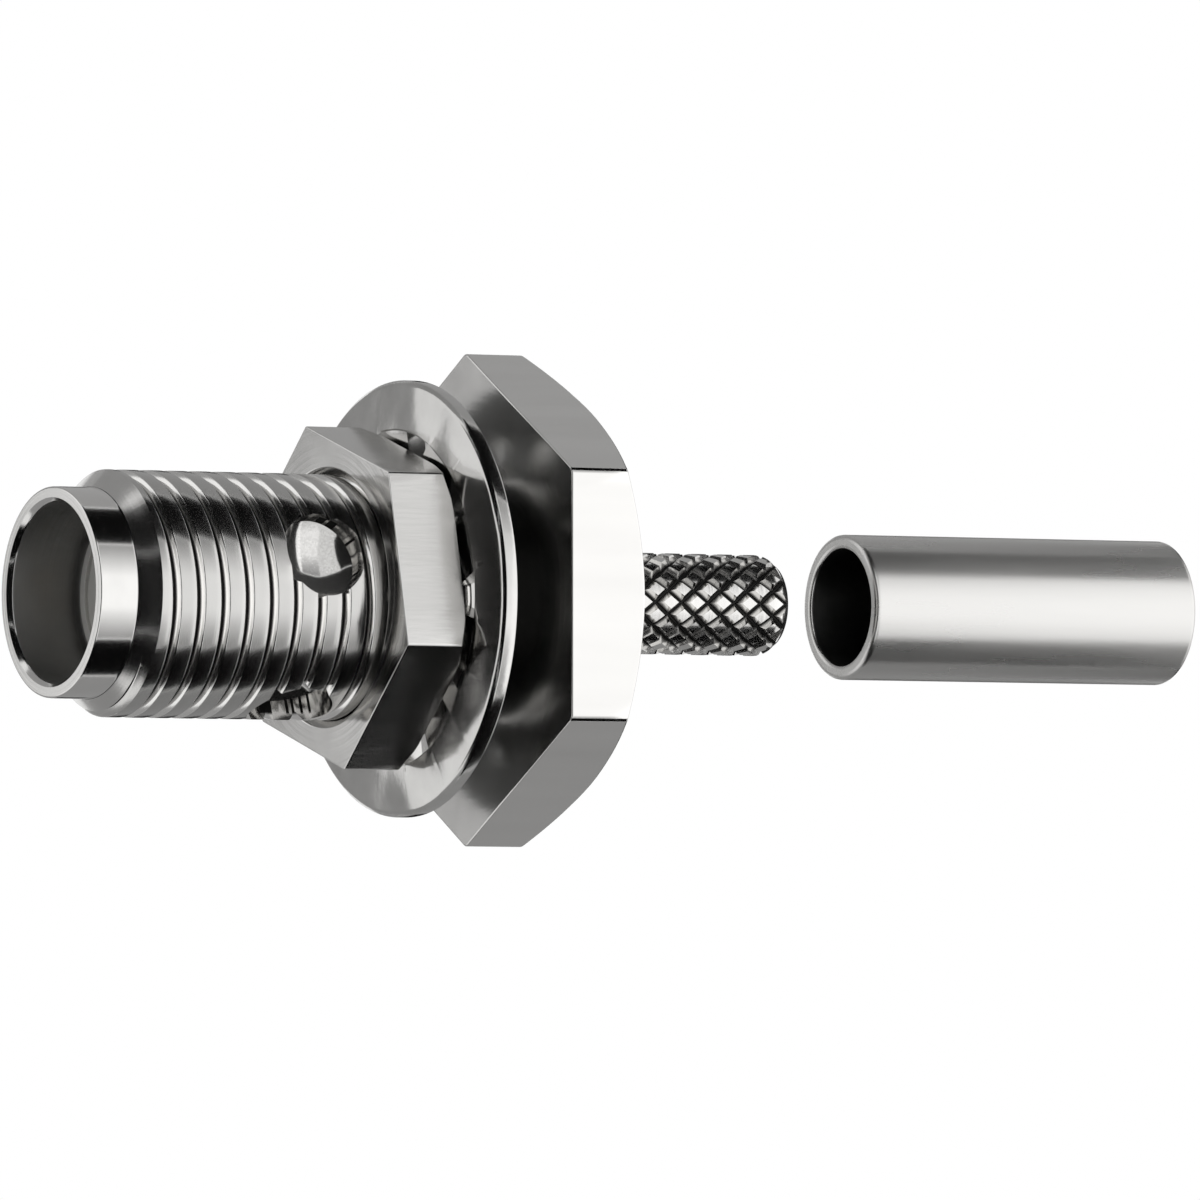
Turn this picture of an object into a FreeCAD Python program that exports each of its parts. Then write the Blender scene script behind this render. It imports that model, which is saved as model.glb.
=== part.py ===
# SMA bulkhead cable jack with its hex nut, toothed lock washer and crimp ferrule, in millimetres.
# The connector's axis is X. The mating mouth points to -X and the cable leaves to +X.
# The origin is on the axis, in the face of the hexagon that seats on the panel. Z is up, and two
# corners of the hexagon stand along Z.
# The thread is one right-handed helical groove between wide flat crests, open at both ends.
import FreeCAD
import Part
import math
import os

from FreeCAD import Vector

AXIS = Vector(1, 0, 0)
CENTRE = Vector(0, 0, 0)

# Threaded barrel, from the mouth to the face that seats on the panel
thread_diameter = 6.35
thread_pitch = 25.4 / 36
thread_depth = 0.2
thread_angle = 60.0
thread_crest_flat = 0.44
thread_cut_overrun = 0.04
barrel_length = 12.17
pilot_diameter = 5.42
pilot_length = 1.07
mouth_edge = 0.08
mouth_countersink = 0.12
relief_diameter = 5.4
relief_width = 0.8

# Bores of the body
socket_diameter = 4.62
socket_depth = 1.93
insulator_bore = 4.13
insulator_in_hexagon = 1.0
cable_bore = 1.7

# Hexagon that seats on the panel
hexagon_across_flats = 11.11
hexagon_thickness = 2.15
hexagon_chamfer_angle = 30.0

# Crimp stem with its diamond knurl
stem_diameter = 2.64
stem_length = 6.92
stem_neck_length = 0.5
stem_end_chamfer = 0.25
knurl_depth = 0.2
knurl_teeth_around = 12
knurl_pitch = 0.79

# Cross holes that lock the insulator and contact with cured epoxy
lock_hole_diameter = 2.25
lock_hole_count = 4
lock_hole_turn = 19.5
lock_hole_from_mouth = 6.38
lock_core_diameter = 1.3
lock_rim_height = 2.46
lock_meniscus_radius = 1.75

# Centre contact: slotted socket in front, conductor cup behind
contact_diameter = 1.27
contact_socket_diameter = 0.94
contact_socket_depth = 2.9
contact_mouth_edge = 0.06
contact_slot_width = 0.15
contact_slot_depth = 2.3
contact_slot_count = 4
contact_groove_diameter = 0.9
contact_rear_diameter = 1.1
contact_set_back = 0.1
conductor_cup_diameter = 0.6
conductor_cup_depth = 2.0

# Clearance between pieces that are pressed or cast together
seat_clearance = 0.005

# Hex nut on the barrel
nut_across_flats = 7.94
nut_thickness = 1.8
nut_turn = 43.0
nut_bore_clearance = 0.03
nut_countersink = 0.16
nut_chamfer_circle = 8.48
nut_chamfer_angle = 30.0
nut_to_panel_seat = 2.36

# Lock washer with twisted inner teeth
washer_diameter = 11.3
washer_thickness = 0.57
washer_ring_width = 1.3
washer_bore_clearance = 0.11
washer_edge_radius = 0.22
washer_tooth_count = 10
washer_tooth_width = 1.5
washer_tooth_thickness = 0.53
washer_tooth_twist = 12.0
washer_play = 0.02

# Crimp ferrule, apart from the stem on the same axis
ferrule_diameter = 3.81
ferrule_bore = 3.07
ferrule_length = 9.85
ferrule_edge_radius = 0.1
ferrule_bore_chamfer = 0.06
ferrule_to_stem = 2.23

# Places that follow from the sizes above
mouth_x = -barrel_length
socket_floor_x = mouth_x + socket_depth
lock_hole_x = mouth_x + lock_hole_from_mouth
hexagon_back_x = hexagon_thickness
stem_end_x = hexagon_back_x + stem_length
nut_back_x = -nut_to_panel_seat
nut_front_x = nut_back_x - nut_thickness
ferrule_front_x = stem_end_x + ferrule_to_stem


def turned(corners):
    """Solid of revolution about the axis, from its outline as (x, radius) corners."""
    points = [Vector(x, 0, radius) for x, radius in corners]
    outline = Part.makePolygon(points + points[:1])
    return Part.Face(outline).revolve(CENTRE, AXIS, 360)


def rod(start_x, end_x, diameter):
    """Round bar along the axis."""
    return Part.makeCylinder(diameter / 2, end_x - start_x, Vector(start_x, 0, 0), AXIS)


def around(shape, degrees):
    """The shape turned about the axis, positive by the right-hand rule about +X."""
    copy = shape.copy()
    copy.rotate(CENTRE, AXIS, degrees)
    return copy


def hexagon_bar(start_x, end_x, across_flats):
    """Six-sided bar along the axis, with a corner along +Z."""
    corner_radius = across_flats / math.sqrt(3)
    corners = []
    for step in range(7):
        angle = math.radians(60 * step)
        corners.append(Vector(start_x, corner_radius * math.sin(angle), corner_radius * math.cos(angle)))
    return Part.Face(Part.makePolygon(corners)).extrude(Vector(end_x - start_x, 0, 0))


def chamfer_envelope(front_x, back_x, back_circle, across_flats, angle):
    """Turned form that takes the corners off the back end of a six-sided bar."""
    corner_radius = across_flats / math.sqrt(3) + 0.5 * (back_x - front_x)
    drop = (corner_radius - back_circle / 2) * math.tan(math.radians(angle))
    corners = [
        (front_x, 0),
        (front_x, corner_radius),
        (back_x - drop, corner_radius),
        (back_x, back_circle / 2),
        (back_x, 0),
    ]
    return turned(corners)


def cross_hole(diameter, inner_height, outer_height):
    """Round bar that points up from the axis at the station of the lock holes."""
    foot = Vector(lock_hole_x, 0, inner_height)
    return Part.makeCylinder(diameter / 2, outer_height - inner_height, foot, Vector(0, 0, 1))


def at_lock_holes(shape):
    """Copies of a shape that points up, one for each lock hole round the barrel."""
    copies = []
    for number in range(lock_hole_count):
        # The first hole stands a little above the side that faces -Y
        degrees = 90 - lock_hole_turn + 360 * number / lock_hole_count
        copies.append(around(shape, degrees))
    return copies


def diamond_knurl(start_x, end_x):
    """Solid whose round side is a net of four-sided pyramids between crossing V grooves."""
    places = 2 * knurl_teeth_around
    rows = max(2, round((end_x - start_x) / (knurl_pitch / 2)))
    row_step = (end_x - start_x) / rows
    peak_radius = stem_diameter / 2
    valley_radius = peak_radius - knurl_depth

    def corner(row, place):
        on_peak = (row + place) % 2 == 0
        radius = peak_radius if on_peak else valley_radius
        angle = 2 * math.pi * place / places
        return Vector(start_x + row * row_step, radius * math.sin(angle), radius * math.cos(angle))

    faces = []
    for row in range(rows):
        for place in range(places):
            here = corner(row, place)
            beside = corner(row, place + 1)
            above = corner(row + 1, place)
            across = corner(row + 1, place + 1)
            # The fold of each patch follows the groove, from valley to valley
            if (row + place) % 2 == 0:
                triangles = [(here, beside, above), (across, above, beside)]
            else:
                triangles = [(beside, across, here), (above, here, across)]
            for triangle in triangles:
                faces.append(Part.Face(Part.makePolygon(list(triangle) + [triangle[0]])))
    for row in (0, rows):
        rim = [corner(row, place) for place in range(places)]
        faces.append(Part.Face(Part.makePolygon(rim + rim[:1])))
    shell = Part.makeShell(faces)
    shell.sewShape()
    solid = Part.makeSolid(shell)
    if solid.Volume < 0:
        solid.reverse()
    return solid


def jack_body():
    """The turned body: threaded barrel, hexagon and knurled crimp stem in one piece."""
    thread_radius = thread_diameter / 2
    pilot_radius = pilot_diameter / 2
    relief_radius = relief_diameter / 2
    pilot_end_x = mouth_x + pilot_length
    relief_ramp = thread_radius - relief_radius
    barrel = turned([
        (mouth_x, 0),
        (mouth_x, pilot_radius - mouth_edge),
        (mouth_x + mouth_edge, pilot_radius),
        (pilot_end_x, pilot_radius),
        (pilot_end_x + thread_radius - pilot_radius, thread_radius),
        (-relief_width - relief_ramp, thread_radius),
        (-relief_width, relief_radius),
        (hexagon_thickness / 2, relief_radius),
        (hexagon_thickness / 2, 0),
    ])
    hexagon = hexagon_bar(0, hexagon_back_x, hexagon_across_flats)
    hexagon = hexagon.common(chamfer_envelope(
        0, hexagon_back_x, hexagon_across_flats, hexagon_across_flats, hexagon_chamfer_angle))
    knurl_start_x = hexagon_back_x + stem_neck_length
    neck_diameter = stem_diameter - 2 * knurl_depth - 0.04
    neck = rod(hexagon_thickness / 2, knurl_start_x + 0.5 * knurl_pitch, neck_diameter)
    knurl = diamond_knurl(knurl_start_x, stem_end_x)
    knurl = knurl.common(turned([
        (knurl_start_x - 0.1, 0),
        (knurl_start_x - 0.1, stem_diameter),
        (stem_end_x - stem_end_chamfer - stem_diameter / 2, stem_diameter),
        (stem_end_x, stem_diameter / 2 - stem_end_chamfer),
        (stem_end_x, 0),
    ]))
    barrel = barrel.cut(thread_groove())
    body = barrel.fuse([hexagon, neck, knurl])
    bores = turned([
        (mouth_x - 1, 0),
        (mouth_x - 1, socket_diameter / 2 + mouth_countersink),
        (mouth_x, socket_diameter / 2 + mouth_countersink),
        (mouth_x + mouth_countersink, socket_diameter / 2),
        (socket_floor_x, socket_diameter / 2),
        (socket_floor_x, insulator_bore / 2),
        (insulator_in_hexagon, insulator_bore / 2),
        (insulator_in_hexagon, cable_bore / 2),
        (stem_end_x + 1, cable_bore / 2),
        (stem_end_x + 1, 0),
    ])
    holes = at_lock_holes(cross_hole(lock_hole_diameter, insulator_bore / 4, thread_diameter))
    return body.cut([bores] + holes)


def thread_groove():
    """V groove with a flat root that winds round the barrel from the pilot to the relief."""
    root_radius = thread_diameter / 2 - thread_depth
    top_radius = thread_diameter / 2 + thread_cut_overrun
    slope = math.tan(math.radians(thread_angle / 2))
    half_crest_gap = (thread_pitch - thread_crest_flat) / 2
    half_root = half_crest_gap - thread_depth * slope
    half_top = half_crest_gap + thread_cut_overrun * slope
    start_x = mouth_x + pilot_length - thread_pitch / 2
    end_x = -relief_width / 2
    helix = Part.makeLongHelix(thread_pitch, end_x - start_x, root_radius)
    section = Part.makePolygon([
        Vector(root_radius, 0, -half_root),
        Vector(top_radius, 0, -half_top),
        Vector(top_radius, 0, half_top),
        Vector(root_radius, 0, half_root),
        Vector(root_radius, 0, -half_root),
    ])
    groove = Part.Wire(helix.Edges).makePipeShell([section], True, True)
    if groove.Volume < 0:
        groove.reverse()
    groove.rotate(CENTRE, Vector(0, 1, 0), 90)
    groove.translate(Vector(start_x, 0, 0))
    return groove


def front_insulator():
    """Fluoropolymer bead that fills the body's bore round the contact."""
    outer = rod(socket_floor_x, insulator_in_hexagon, insulator_bore - 2 * seat_clearance)
    bore = rod(socket_floor_x - 1, insulator_in_hexagon + 1, contact_diameter + 2 * seat_clearance)
    holes = at_lock_holes(cross_hole(lock_core_diameter, 0, insulator_bore))
    return outer.cut([bore] + holes)


def centre_contact():
    """Turned contact: slotted socket, groove for the epoxy, and conductor cup in the stem."""
    radius = contact_diameter / 2
    groove_half = lock_core_diameter / 2
    rear_end_x = insulator_in_hexagon - contact_set_back
    socket_end_x = socket_floor_x + contact_socket_depth
    contact = turned([
        (socket_floor_x, 0),
        (socket_floor_x, radius - contact_mouth_edge / 2),
        (socket_floor_x + contact_mouth_edge / 2, radius),
        (lock_hole_x - groove_half, radius),
        (lock_hole_x - groove_half, contact_groove_diameter / 2),
        (lock_hole_x + groove_half, contact_groove_diameter / 2),
        (lock_hole_x + groove_half, radius),
        (insulator_in_hexagon - 0.5 * contact_diameter, radius),
        (insulator_in_hexagon - 0.5 * contact_diameter, contact_rear_diameter / 2),
        (rear_end_x, contact_rear_diameter / 2),
        (rear_end_x, 0),
    ])
    socket = turned([
        (socket_floor_x - 1, 0),
        (socket_floor_x - 1, contact_socket_diameter / 2 + contact_mouth_edge),
        (socket_floor_x, contact_socket_diameter / 2 + contact_mouth_edge),
        (socket_floor_x + contact_mouth_edge, contact_socket_diameter / 2),
        (socket_end_x, contact_socket_diameter / 2),
        (socket_end_x + contact_socket_diameter / 4, 0),
    ])
    cup = turned([
        (rear_end_x + 1, 0),
        (rear_end_x + 1, conductor_cup_diameter / 2),
        (rear_end_x - conductor_cup_depth, conductor_cup_diameter / 2),
        (rear_end_x - conductor_cup_depth - conductor_cup_diameter / 4, 0),
    ])
    slots = []
    for number in range(contact_slot_count):
        slot = Part.makeBox(
            contact_slot_depth + 1, contact_slot_width, contact_diameter,
            Vector(socket_floor_x - 1, -contact_slot_width / 2, 0))
        slots.append(around(slot, 45 + 360 * number / contact_slot_count))
    return contact.cut([socket, cup] + slots)


def epoxy_lock():
    """Cured epoxy: a ring in the contact's groove with a plug out to each lock hole."""
    groove_half = lock_core_diameter / 2 - seat_clearance
    outer_diameter = lock_hole_diameter - 2 * seat_clearance
    core_diameter = lock_core_diameter - 2 * seat_clearance
    ring = rod(lock_hole_x - groove_half, lock_hole_x + groove_half, contact_diameter)
    meniscus_drop = math.sqrt(lock_meniscus_radius ** 2 - (outer_diameter / 2) ** 2)
    meniscus = Part.makeSphere(
        lock_meniscus_radius, Vector(lock_hole_x, 0, lock_rim_height + meniscus_drop))
    core = cross_hole(core_diameter, 0, insulator_bore / 2 + 0.1)
    head = cross_hole(outer_diameter, 0, lock_rim_height)
    head = head.cut(rod(lock_hole_x - outer_diameter, lock_hole_x + outer_diameter, insulator_bore))
    plug = core.fuse(head).cut(meniscus)
    lock = ring.fuse(at_lock_holes(plug)).removeSplitter()
    groove_clearance_diameter = contact_groove_diameter + 2 * seat_clearance
    return lock.cut(rod(lock_hole_x - 5, lock_hole_x + 5, groove_clearance_diameter))


def hex_nut():
    """Panel nut, chamfered on the corners that face the washer."""
    bore_radius = thread_diameter / 2 + nut_bore_clearance
    nut = around(hexagon_bar(nut_front_x, nut_back_x, nut_across_flats), 90 - nut_turn)
    nut = nut.common(chamfer_envelope(
        nut_front_x, nut_back_x, nut_chamfer_circle, nut_across_flats, nut_chamfer_angle))
    bore = turned([
        (nut_front_x, 0),
        (nut_front_x, bore_radius + nut_countersink),
        (nut_front_x + nut_countersink, bore_radius),
        (nut_back_x - nut_countersink, bore_radius),
        (nut_back_x, bore_radius + nut_countersink),
        (nut_back_x, 0),
    ])
    return nut.cut(bore)


def washer_tooth(root_radius, tip_radius):
    """One inner tooth that points up, twisted about its own length."""
    sections = []
    for radius, twist in ((root_radius, 0.0), (tip_radius, washer_tooth_twist)):
        turn = math.radians(twist)
        half_width = washer_tooth_width / 2
        half_thick = washer_tooth_thickness / 2
        corners = []
        for side, face in ((-1, -1), (1, -1), (1, 1), (-1, 1)):
            across = side * half_width
            along = face * half_thick
            x = along * math.cos(turn) - across * math.sin(turn)
            y = along * math.sin(turn) + across * math.cos(turn)
            corners.append(Vector(x, y, radius))
        sections.append(Part.makePolygon(corners + corners[:1]))
    return Part.makeLoft(sections, True, True)


def lock_washer():
    """Stamped spring washer: a flat ring whose inner teeth are twisted to bite nut and panel."""
    outer_radius = washer_diameter / 2
    root_radius = outer_radius - washer_ring_width
    bore_radius = thread_diameter / 2 + washer_bore_clearance
    half_thick = washer_thickness / 2
    ring = rod(-half_thick, half_thick, washer_diameter)
    ring = ring.cut(rod(-washer_thickness, washer_thickness, 2 * root_radius))
    front_edges = []
    for edge in ring.Edges:
        on_front = abs(edge.BoundBox.XMax + half_thick) < 1e-4
        on_rim = edge.BoundBox.ZMax > outer_radius - 1e-4
        if on_front and on_rim and edge.BoundBox.XLength < 1e-4:
            front_edges.append(edge)
    ring = ring.makeFillet(washer_edge_radius, front_edges)
    tooth = washer_tooth(root_radius + 0.1 * washer_ring_width, bore_radius - 0.2)
    teeth = []
    for number in range(washer_tooth_count):
        teeth.append(around(tooth, 360 * number / washer_tooth_count))
    washer = ring.fuse(teeth).cut(rod(-washer_diameter, washer_diameter, 2 * bore_radius))
    # The teeth that lean forward touch the back of the nut
    front_reach = -washer.BoundBox.XMin
    washer.translate(Vector(nut_back_x + washer_play + front_reach, 0, 0))
    return washer


def crimp_ferrule():
    """Thin tube with rounded edges that is crimped over the cable's braid on the stem."""
    tube = rod(ferrule_front_x, ferrule_front_x + ferrule_length, ferrule_diameter)
    tube = tube.cut(rod(ferrule_front_x - 1, ferrule_front_x + ferrule_length + 1, ferrule_bore))
    end_edges = [edge for edge in tube.Edges if edge.BoundBox.XLength < 1e-4]
    outer_edges = [edge for edge in end_edges if edge.BoundBox.ZLength > ferrule_diameter - 1e-4]
    tube = tube.makeFillet(ferrule_edge_radius, outer_edges)
    end_edges = [edge for edge in tube.Edges if edge.BoundBox.XLength < 1e-4]
    bore_edges = [edge for edge in end_edges if edge.BoundBox.ZLength < ferrule_bore + 1e-4]
    return tube.makeChamfer(ferrule_bore_chamfer, bore_edges)


PIECES = {
    "jack_body": jack_body,
    "front_insulator": front_insulator,
    "centre_contact": centre_contact,
    "epoxy_lock": epoxy_lock,
    "hex_nut": hex_nut,
    "lock_washer": lock_washer,
    "crimp_ferrule": crimp_ferrule,
}

os.makedirs("parts", exist_ok=True)
for node, make in PIECES.items():
    shape = make()
    shape.exportStep(os.path.join("parts", node + ".step"))
    box = shape.BoundBox
    print(node, len(shape.Solids), "solid", shape.isValid(), round(shape.Volume, 3), "mm3",
          "x", round(box.XMin, 3), round(box.XMax, 3), "z", round(box.ZMin, 3), round(box.ZMax, 3))
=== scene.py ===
# Looks of a threaded coaxial bulkhead jack with its hex nut, toothed lock washer and crimp ferrule.
# Meshes are modelled in millimetres and brought to metres when a piece is finished.
# The connector's axis is X: the mouth points to -X and the cable end to +X.
import math

import bmesh
import bpy
import numpy as np
from mathutils import Matrix, Vector


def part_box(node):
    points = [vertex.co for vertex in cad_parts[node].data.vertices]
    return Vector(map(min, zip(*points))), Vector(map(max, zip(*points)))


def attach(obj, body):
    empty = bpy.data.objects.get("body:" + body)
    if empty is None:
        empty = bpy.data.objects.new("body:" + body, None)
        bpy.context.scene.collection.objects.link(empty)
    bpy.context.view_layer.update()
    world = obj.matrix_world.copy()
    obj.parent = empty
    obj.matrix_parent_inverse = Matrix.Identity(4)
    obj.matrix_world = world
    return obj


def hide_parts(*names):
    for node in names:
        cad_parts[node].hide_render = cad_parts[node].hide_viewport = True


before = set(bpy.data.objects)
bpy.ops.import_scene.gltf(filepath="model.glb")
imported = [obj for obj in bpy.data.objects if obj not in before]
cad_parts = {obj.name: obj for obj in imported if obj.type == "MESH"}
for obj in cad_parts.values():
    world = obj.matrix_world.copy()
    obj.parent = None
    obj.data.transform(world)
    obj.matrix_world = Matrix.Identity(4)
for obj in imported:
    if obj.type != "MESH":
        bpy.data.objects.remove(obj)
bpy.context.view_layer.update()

MM = 0.001


def box_mm(node):
    """Lowest and highest corner of a node of the frame, in millimetres."""
    low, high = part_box(node)
    return low / MM, high / MM


body_low, body_high = box_mm("jack_body")
insulator_low, insulator_high = box_mm("front_insulator")
nut_low, nut_high = box_mm("hex_nut")
washer_low, washer_high = box_mm("lock_washer")
ferrule_low, ferrule_high = box_mm("crimp_ferrule")

# Stations along the axis that the frame gives
mouth_x = body_low.x
stem_end_x = body_high.x
socket_floor_x = insulator_low.x
bead_end_x = insulator_high.x

# How far a tool runs past a face, how far an envelope stands off the thread's crests, how far apart the
# touching faces of two pieces are, and how near to a plane or radius a face counts as lying on it
overrun = 1.0
envelope_gap = 0.02
fit_gap = 0.005
near = 0.01

# Roundings of edges, from hardly broken to well eased
crisp_edge = 0.01
fine_edge = 0.02
deburred_edge = 0.03
broken_edge = 0.04
eased_edge = 0.05
soft_edge = 0.06

# Limits on the x of a face's normal, which is 0 where the face lies along the axis and 1 where it is square
flat_tilt = 0.1
crest_tilt = 0.3
chamfer_tilt = 0.4
back_tilt = 0.5
ramp_tilt = 0.6

# Barrel with its 1/4-36 thread
thread_radius = 3.175
thread_pitch = 25.4 / 36
thread_depth = 0.2
thread_crest_flat = 0.44
thread_slope = math.tan(math.radians(30))
thread_root_radius = thread_radius - thread_depth
thread_root_flat = thread_pitch - thread_crest_flat - 2 * thread_depth * thread_slope
thread_crest_round = 0.03
thread_root_overlap = 0.03
thread_turns = 17.0
thread_steps_per_turn = 128
# How far out from the thread's root the painted shade in the groove reaches
thread_painted_shade_depth = 0.09
nut_thread_clearance = 0.02
pilot_radius = 2.71
pilot_length = 1.07
pilot_edge = 0.05
pilot_end_x = mouth_x + pilot_length
relief_radius = 2.7
relief_width = 0.8
ramp_end_x = pilot_end_x + thread_radius - pilot_radius

# Bores of the body
socket_radius = 2.31
bead_bore_radius = 2.065
cable_bore_radius = 0.85
cable_bore_chamfer = 0.1
mouth_countersink = 0.12

# Insulating bead
bead_dish = 0.12
bead_rim = 0.24
bead_rim_slope = 0.04

# Hexagon that seats on the panel
hexagon_apothem = 11.11 / 2
hexagon_thickness = 2.15
hexagon_corner_round = 0.22
hexagon_edge_round = 0.05
hexagon_flat_zone_radius = 5.3
chamfer_slope = math.tan(math.radians(30))
side_turn = math.radians(60)
half_side = side_turn / 2

# Crimp stem with its diamond knurl
stem_radius = 1.32
knurl_root_radius = 1.12
knurl_pitch = 0.79
knurl_around = 12
knurl_rows = 19
knurl_foot_overlap = 0.05
knurl_half_length = 0.385
knurl_half_width = 0.285
knurl_top_share = 0.58
knurl_lead_length = 0.1
knurl_lead_drop = 0.06
# How far out from the knurl's root the painted shade in the grooves reaches
knurl_painted_shade_depth = 0.1
stem_neck_length = 0.5
stem_neck_step = 0.02
stem_end_chamfer = 0.25
stem_shoulder_round = 0.2
stem_tip_round = 0.1
knurl_start_x = hexagon_thickness + stem_neck_length

# Cross holes with cured epoxy
lock_hole_radius = 1.125
lock_hole_count = 4
lock_hole_from_mouth = 6.38
lock_hole_x = mouth_x + lock_hole_from_mouth
lock_hole_turn = 19.5
lock_hole_segments = 96
lock_core_radius = 0.65
epoxy_rim_height = 2.46
epoxy_meniscus_radius = 1.75
epoxy_foot_depth = 0.3

# Centre contact
contact_radius = 0.635
contact_bore_radius = 0.47
contact_socket_depth = 2.9
contact_bore_point = 0.24
contact_mouth_edge = 0.07
contact_slot_width = 0.15
contact_slot_depth = 2.3
contact_groove_radius = 0.45
contact_rear_radius = 0.55
contact_set_back = 0.1
conductor_cup_radius = 0.3
conductor_cup_depth = 2.0
conductor_cup_point = 0.15

# Nut and washer
nut_apothem = 7.94 / 2
nut_turn = 43.0
nut_back_circle_radius = 4.24
nut_corner_round = 0.1
nut_edge_round = 0.035
nut_countersink = 0.19
nut_flat_zone_radius = nut_apothem - 0.02
washer_radius = 5.65
washer_ring_inner_radius = 4.35
washer_ring_thickness = 0.57
washer_dish = 0.14
washer_bevel = 0.1
washer_bore_radius = 3.285
washer_tooth_count = 10
washer_tooth_width = 1.5
washer_tooth_thickness = 0.53
washer_tooth_twist = math.radians(12)
washer_tooth_overlap = 0.13
washer_tooth_trim = 0.2

# Ferrule
ferrule_radius = ferrule_high.z
ferrule_bore_radius = 1.535
ferrule_edge = 0.13
ferrule_inner_edge = 0.104


# Colours and shader nodes

def srgb(code):
    """Linear colour from an sRGB hex value."""
    parts = [int(code[place:place + 2], 16) / 255 for place in (1, 3, 5)]
    linear = [part / 12.92 if part <= 0.04045 else ((part + 0.055) / 1.055) ** 2.4 for part in parts]
    return linear + [1.0]


def add(tree, kind, inputs=None, **settings):
    """Adds a node. Settings are its properties. An input is a value, an output, or a node whose first
    output feeds it."""
    node = tree.nodes.new(kind)
    for name, value in settings.items():
        setattr(node, name, value)
    for socket, value in (inputs or {}).items():
        if isinstance(value, bpy.types.Node):
            value = value.outputs[0]
        if isinstance(value, bpy.types.NodeSocket):
            tree.links.new(value, node.inputs[socket])
        else:
            node.inputs[socket].default_value = value
    return node


def new_material(name):
    """Empty node material and its tree."""
    material = bpy.data.materials.new(name)
    material.use_nodes = True
    material.node_tree.nodes.clear()
    return material, material.node_tree


def place_in_mm(tree):
    """A point of the piece in millimetres, so that patterns take real sizes."""
    place = add(tree, "ShaderNodeTexCoord").outputs["Object"]
    return add(tree, "ShaderNodeVectorMath", {0: place, "Scale": 1 / MM}, operation="SCALE")


def along_and_outward(tree, in_mm):
    """Distance of a point along the connector's axis, and its distance from the axis."""
    parts = add(tree, "ShaderNodeSeparateXYZ", {0: in_mm})
    flat = add(tree, "ShaderNodeCombineXYZ", {1: parts.outputs[1], 2: parts.outputs[2]})
    outward = add(tree, "ShaderNodeVectorMath", {0: flat}, operation="LENGTH").outputs["Value"]
    return parts.outputs[0], outward


def lathe_rings(tree, in_mm, per_mm):
    """Height of the rings that a lathe tool leaves: along the axis on rounds, outwards on faces."""
    marks = [add(tree, "ShaderNodeTexNoise", {"W": distance, "Scale": per_mm, "Detail": 3.0},
                 noise_dimensions="1D")
             for distance in along_and_outward(tree, in_mm)]
    return add(tree, "ShaderNodeMath", {0: marks[0], 1: marks[1]}, operation="ADD")


def groove_painted_shade(tree, in_mm, root_radius, clean_radius):
    """Share of painted shade at a point: whole at the bottom of a groove, none near its crests."""
    outward = along_and_outward(tree, in_mm)[1]
    return add(tree, "ShaderNodeMapRange", {0: outward, 1: root_radius, 2: clean_radius, 3: 1.0, 4: 0.0},
               interpolation_type="SMOOTHSTEP")


def plated(name, bright, dull, roughness, marks_per_mm, marks_depth, lay, painted_shade_radii=None, waves=0.0):
    """Electroplated metal. Lay is turned (rings), drawn (streaks along the axis) or stamped (pebbled).
    Painted shade radii are where painted shade in a groove is whole and where it is gone, and waves is the
    depth of dents. Depths
    are in mm and scales per mm: the tone drifts over about 1 mm, and dents are about 2 mm across.
    Real tool marks lie about 0.04 mm apart. They are drawn 0.11 to 0.3 mm apart, so that they show."""
    material, tree = new_material(name)
    in_mm = place_in_mm(tree)
    stretch = (0.12, 1.0, 1.0) if lay == "drawn" else (1.0, 1.0, 1.0)
    streaks = add(tree, "ShaderNodeMapping", {"Vector": in_mm, "Scale": stretch})
    if lay == "turned":
        height = lathe_rings(tree, in_mm, marks_per_mm)
    else:
        height = add(tree, "ShaderNodeTexNoise",
                     {"Vector": streaks, "Scale": marks_per_mm, "Detail": 3.0})
    cloud = add(tree, "ShaderNodeTexNoise", {"Vector": streaks, "Scale": 0.9, "Detail": 4.0})
    tone = add(tree, "ShaderNodeMix", {0: cloud, 6: srgb(dull), 7: srgb(bright)},
               data_type="RGBA").outputs[2]
    rough = add(tree, "ShaderNodeMapRange",
                {0: cloud, 1: 0.3, 2: 0.7, 3: roughness * 0.9, 4: roughness * 1.1})
    bump = add(tree, "ShaderNodeBump", {"Strength": 1.0, "Distance": marks_depth * MM, "Height": height})
    if waves:
        swell = add(tree, "ShaderNodeTexNoise", {"Vector": in_mm, "Scale": 0.55, "Detail": 0.0})
        bump = add(tree, "ShaderNodeBump", {"Strength": 1.0, "Distance": waves * MM, "Height": swell,
                                            "Normal": bump})
    # Painted shade: the tone turns dark grey and matt towards the bottom of a groove
    if painted_shade_radii:
        painted_shade = groove_painted_shade(tree, in_mm, *painted_shade_radii)
        tone = add(tree, "ShaderNodeMix", {0: painted_shade, 6: tone, 7: srgb("#2A2A29")},
                   data_type="RGBA").outputs[2]
        rough = add(tree, "ShaderNodeMapRange", {0: painted_shade, 3: rough, 4: 0.5})
    shader = add(tree, "ShaderNodeBsdfPrincipled",
                 {"Base Color": tone, "Metallic": 1.0, "Roughness": rough, "Normal": bump})
    add(tree, "ShaderNodeOutputMaterial", {0: shader})
    return material


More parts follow.
